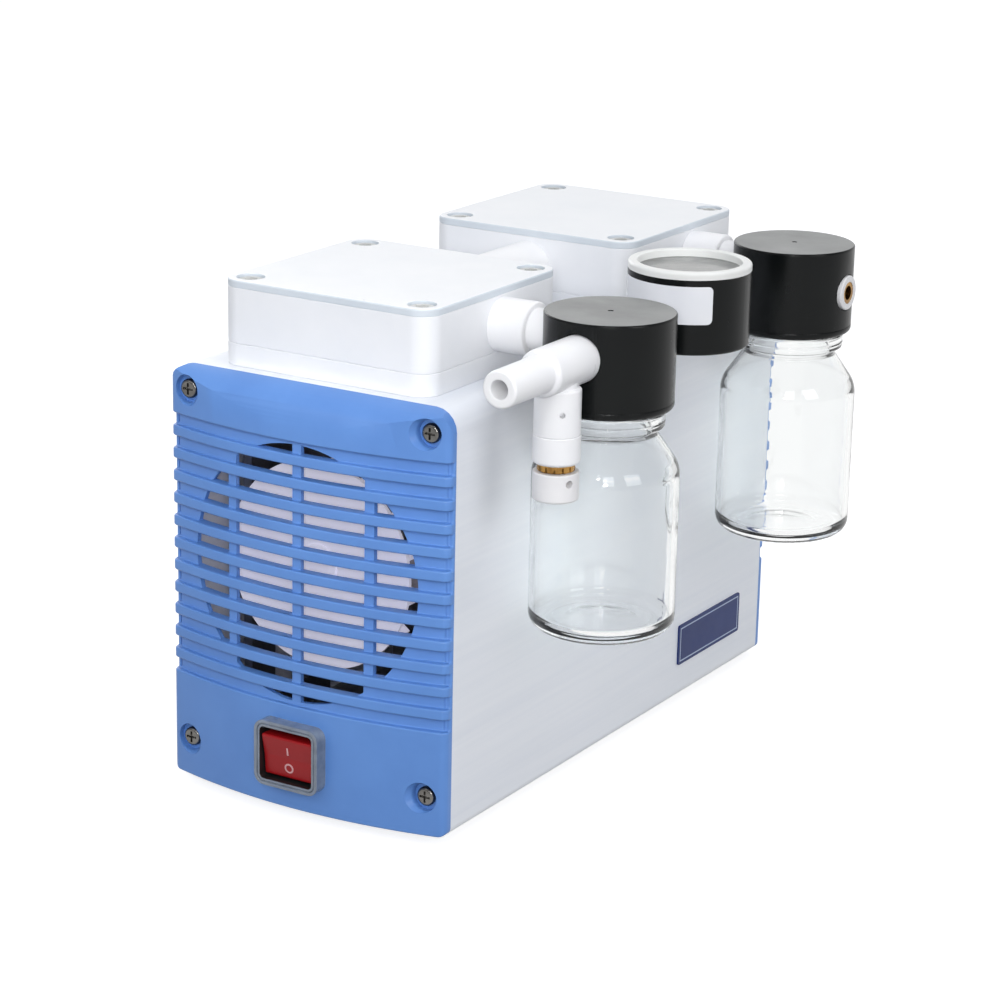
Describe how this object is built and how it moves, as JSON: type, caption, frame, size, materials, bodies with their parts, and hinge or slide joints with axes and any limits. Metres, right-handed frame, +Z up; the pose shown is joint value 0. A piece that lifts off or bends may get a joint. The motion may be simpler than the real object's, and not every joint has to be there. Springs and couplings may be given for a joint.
{
  "type": "diaphragm vacuum pump",
  "caption": "Bench diaphragm vacuum pump: ribbed blue end covers on a white case, two square heads, glass catch bottles, dial gauge and a hose tee with a bleed valve.",
  "frame": {"origin": "under the middle of the whole pump, on the plane of its feet", "axes": "+Z up, -Y out of the front cover with the switch, +X to the side with the bottles"},
  "size_m": [0.1904, 0.299, 0.214],
  "materials": {
    "white_enamel": "smooth powder coat",
    "zinc_sheet": "zinc plated sheet",
    "rubber": "matt black rubber",
    "blue_cover": "satin moulded plastic",
    "steel_screw": "bright steel",
    "bezel": "smoky clear plastic",
    "red_rocker": "glossy red",
    "black_plastic": "satin black",
    "brass": "turned brass",
    "navy_plate": "printed navy with a pale line",
    "core_steel": "varnished laminations",
    "copper_winding": "enamelled copper wire",
    "cast_alloy": "die cast",
    "fan_plastic": "moulded plastic",
    "capacitor_white": "moulded can",
    "white_head": "machined white plastic",
    "lid_white": "smooth white plate with grey edge",
    "diaphragm_rubber": "black elastomer",
    "white_fitting": "white fluoropolymer",
    "black_cap": "satin black plastic",
    "clear_glass": "clear glass",
    "gasket_white": "soft white seal",
    "gauge_white": "white ring",
    "dial_face": "printed dial",
    "pointer_black": "black needle",
    "off_white_nut": "off-white plastic"
  },
  "bodies": {
    "housing": {"enclosure": "white_enamel", "base_plate": "zinc_sheet", "rubber_feet": "rubber", "nameplate": "navy_plate", "front_cover": "blue_cover", "rear_cover": "blue_cover", "cover_screws": "steel_screw", "switch_bezel": "bezel", "mains_inlet": "black_plastic", "inlet_pins": "brass", "motor_stator": "core_steel", "motor_windings": "copper_winding", "motor_end_shields": "cast_alloy", "motor_bearings": "steel_screw", "motor_cradle": "cast_alloy", "run_capacitor": "capacitor_white", "valve_flaps": "diaphragm_rubber", "lid_screws": "steel_screw", "transfer_tube": "white_fitting", "inlet_bottle_head": "black_cap", "outlet_bottle_head": "black_cap", "bottle_gaskets": "gasket_white", "inlet_tee": "white_fitting", "regulator_sleeve": "white_fitting", "regulator_seat": "brass", "gauge_stem": "white_fitting", "gauge_body": "black_cap", "gauge_bezel": "gauge_white", "gauge_dial": "dial_face", "gauge_lens": "clear_glass", "exhaust_nut": "off_white_nut", "exhaust_sleeve": "brass", "head_bracket_front": "zinc_sheet", "lower_housing_front": "white_head", "diaphragm_front": "diaphragm_rubber", "head_block_front": "white_head", "lid_plate_front": "lid_white", "side_connector_front": "white_fitting", "head_bracket_rear": "zinc_sheet", "lower_housing_rear": "white_head", "diaphragm_rear": "diaphragm_rubber", "head_block_rear": "white_head", "lid_plate_rear": "lid_white", "side_connector_rear": "white_fitting"},
    "rotor": {"motor_shaft": "steel_screw", "motor_rotor": "core_steel", "cooling_fan": "fan_plastic", "eccentric_front": "cast_alloy", "eccentric_rear": "cast_alloy"},
    "front_rod": {"connecting_rod_front": "cast_alloy", "crank_bearing_front": "steel_screw", "diaphragm_clamp_front": "white_fitting"},
    "rear_rod": {"connecting_rod_rear": "cast_alloy", "crank_bearing_rear": "steel_screw", "diaphragm_clamp_rear": "white_fitting"},
    "rocker": {"switch_rocker": "red_rocker"},
    "bleed_knob": {"regulator_knob": "off_white_nut"},
    "needle": {"gauge_pointer": "pointer_black"},
    "inlet_jar": {"inlet_bottle": "clear_glass"},
    "outlet_jar": {"outlet_bottle": "clear_glass"}
  },
  "joints": [
    {"name": "motor_spin", "type": "hinge", "parent": "housing", "child": "rotor", "pos_m": [-0.03015, 0.00354, 0.1005], "axis": [0, 1, 0], "continuous": true},
    {"name": "front_rod_swing", "type": "hinge", "parent": "rotor", "child": "front_rod", "pos_m": [-0.03015, -0.07246, 0.103], "axis": [0, 1, 0], "continuous": true},
    {"name": "rear_rod_swing", "type": "hinge", "parent": "rotor", "child": "rear_rod", "pos_m": [-0.03015, 0.07954, 0.098], "axis": [0, 1, 0], "continuous": true},
    {"name": "rocker_tilt", "type": "hinge", "parent": "housing", "child": "rocker", "pos_m": [-0.03015, -0.13516, 0.0275], "axis": [1, 0, 0], "range_deg": [-18, 0]},
    {"name": "bleed_knob_turn", "type": "hinge", "parent": "housing", "child": "bleed_knob", "pos_m": [0.06655, -0.10754, 0.1519], "axis": [0, 0, 1], "range_deg": [0, 270]},
    {"name": "needle_sweep", "type": "hinge", "parent": "housing", "child": "needle", "pos_m": [0.06655, -0.00646, 0.2005], "axis": [0, 0, 1], "range_deg": [-270, 0], "stiffness_Nm_per_rad": 0.0002},
    {"name": "inlet_jar_unscrew", "type": "hinge", "parent": "housing", "child": "inlet_jar", "pos_m": [0.06655, -0.06946, 0.1684], "axis": [0, 0, 1], "range_deg": [-360, 0]},
    {"name": "outlet_jar_unscrew", "type": "hinge", "parent": "housing", "child": "outlet_jar", "pos_m": [0.06655, 0.08754, 0.1684], "axis": [0, 0, 1], "range_deg": [-360, 0]}
  ],
  "couplings": [
    {"joint": "front_rod_swing", "follows": "motor_spin", "ratio": -1},
    {"joint": "rear_rod_swing", "follows": "motor_spin", "ratio": -1}
  ]
}
